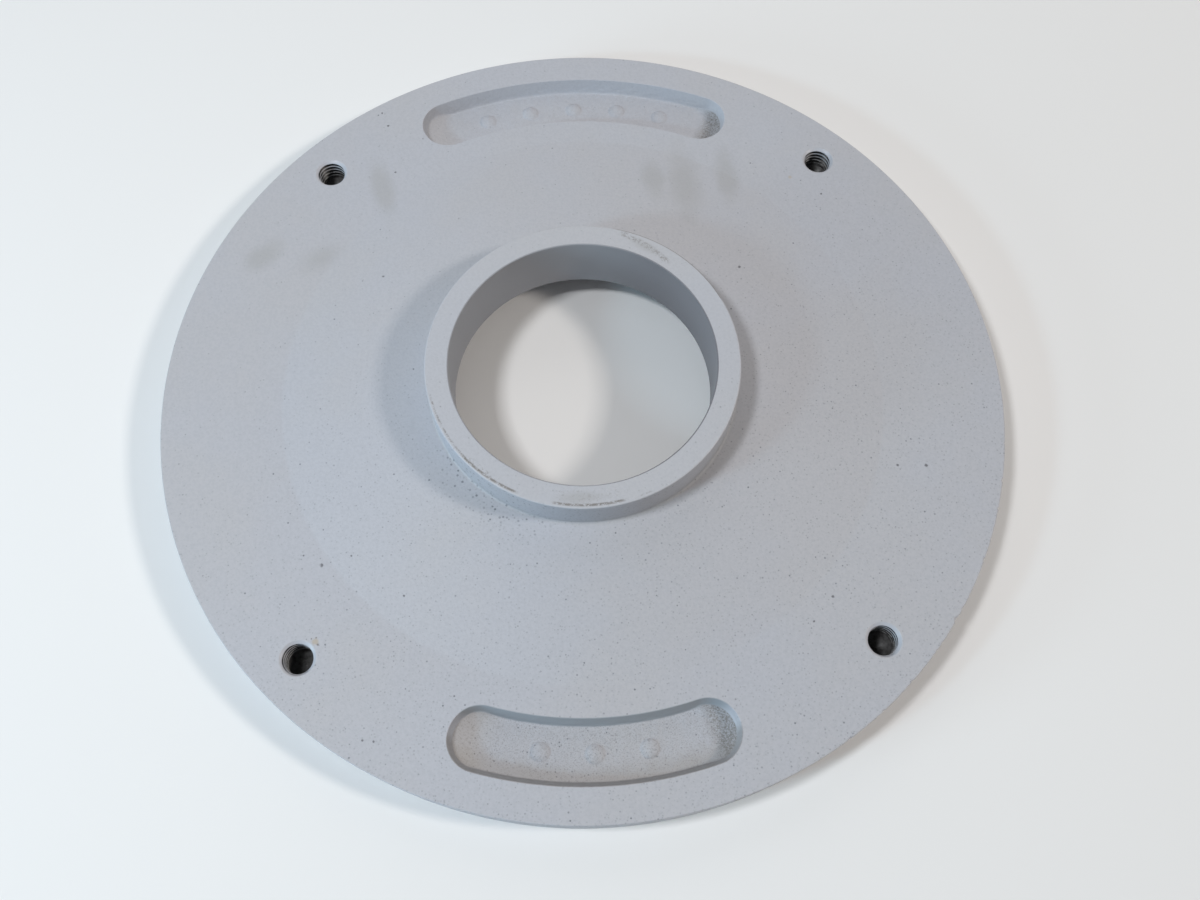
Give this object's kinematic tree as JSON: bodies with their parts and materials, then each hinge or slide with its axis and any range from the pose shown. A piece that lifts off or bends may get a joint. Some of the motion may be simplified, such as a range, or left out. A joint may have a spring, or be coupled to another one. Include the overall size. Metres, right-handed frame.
{
  "type": "centrifugal pump wear plate",
  "caption": "Round dished wear plate of a centrifugal pump casing, with a collar round its bore, tapped holes near the rim and arc-shaped cast pockets.",
  "frame": {"origin": "on the bore axis, in the plane of the flat land round the wear face", "axes": "+Z along the bore axis towards the collar's end, +Y towards the middle of the long pocket"},
  "size_m": [0.3318, 0.3318, 0.038],
  "materials": {
    "painted_casting": "thin matte grey paint over cast and machined iron"
  },
  "bodies": {
    "root": {"wear_plate": "painted_casting"}
  },
  "joints": []
}
